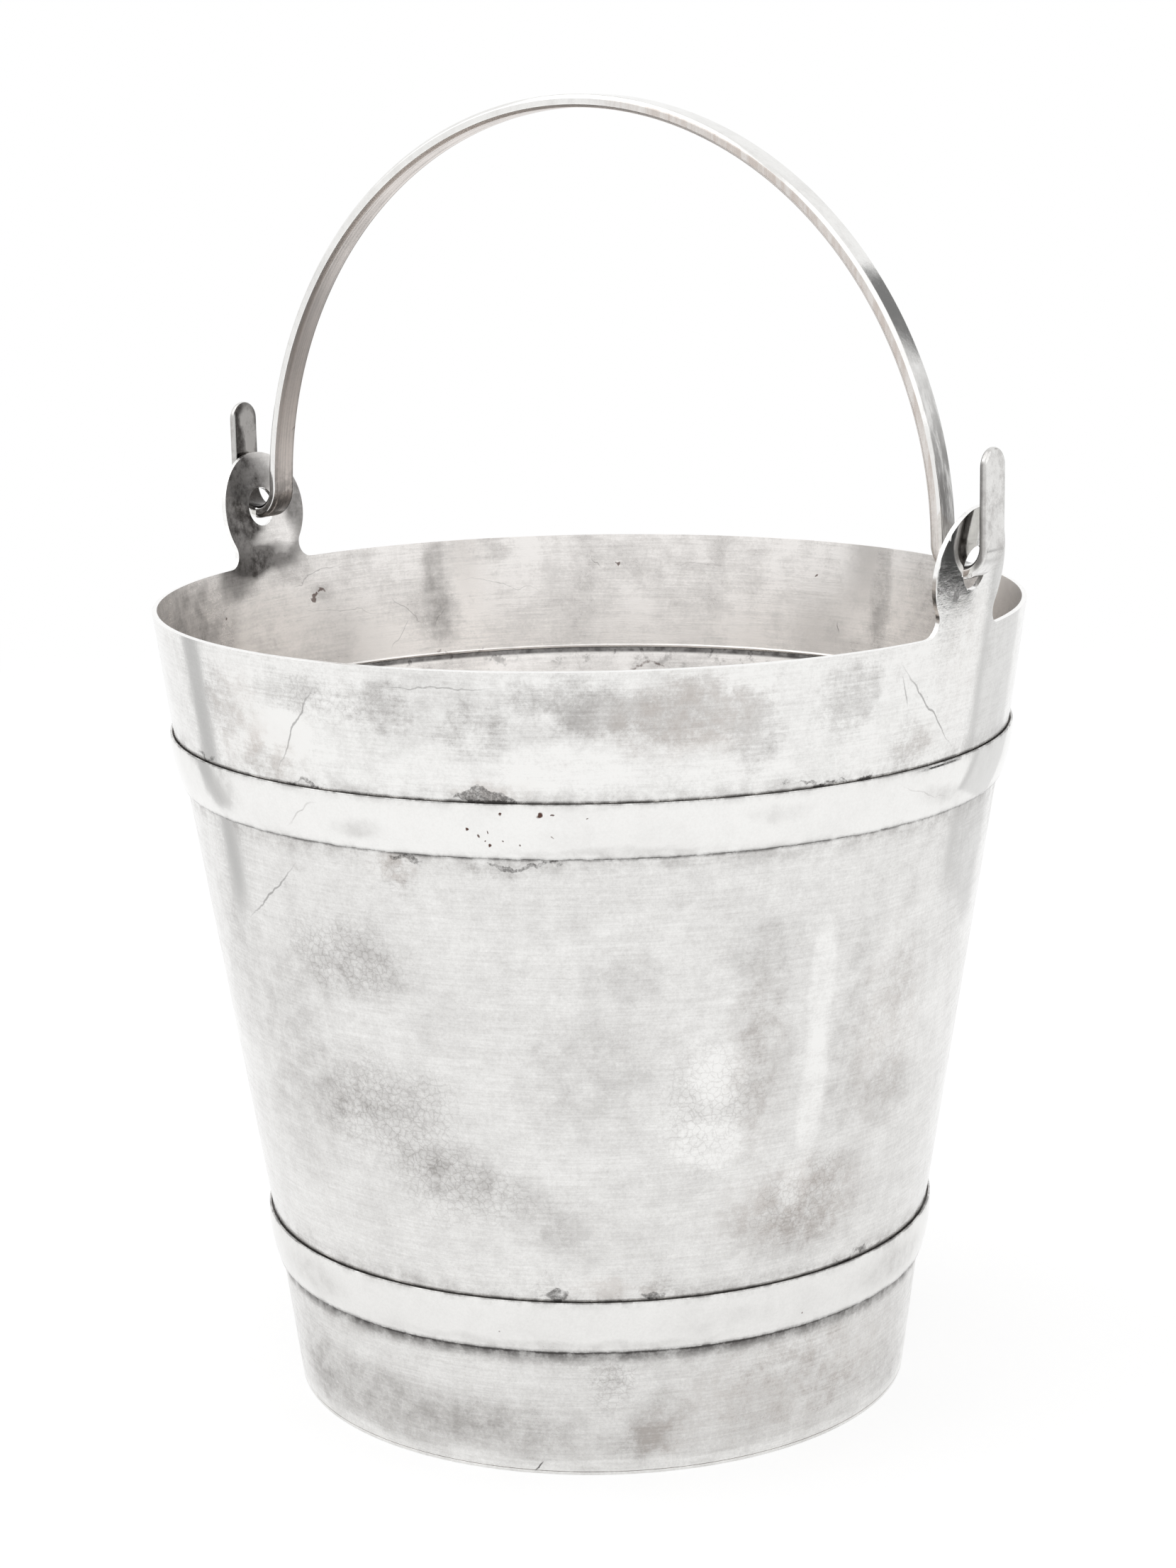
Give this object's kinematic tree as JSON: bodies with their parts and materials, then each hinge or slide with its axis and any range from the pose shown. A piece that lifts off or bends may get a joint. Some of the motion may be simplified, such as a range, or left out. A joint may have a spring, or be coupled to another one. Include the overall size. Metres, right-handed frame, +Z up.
{
  "type": "champagne bucket",
  "caption": "Tapered round metal bucket for chilling a bottle in ice, with crowned hoops over its wall joins, pierced ears on the rim and a bail handle that swings over the mouth.",
  "frame": {"origin": "middle of the base plate's underside, on the ground", "axes": "+Z up the bucket's axis to the rim, X through both ears along the line that the bail turns on, Y to the sides that the bail swings down to"},
  "size_m": [0.2306, 0.216, 0.322],
  "materials": {
    "wall_silver": "worn silver plate with grey tarnish and fine scratches",
    "hoop_silver": "rubbed bright silver plate",
    "bail_silver": "worn silver plate, dull and warm inside the arch"
  },
  "bodies": {
    "bucket": {"base_plate": "wall_silver", "foot_wall": "wall_silver", "lower_hoop": "hoop_silver", "barrel": "wall_silver", "upper_hoop": "hoop_silver", "rim_collar": "wall_silver"},
    "bail": {"bail": "bail_silver"}
  },
  "joints": [
    {"name": "bail_swing", "type": "hinge", "parent": "bucket", "child": "bail", "pos_m": [0, 0, 0.214], "axis": [1, 0, 0], "range_deg": [-95.4, 95.4]}
  ]
}
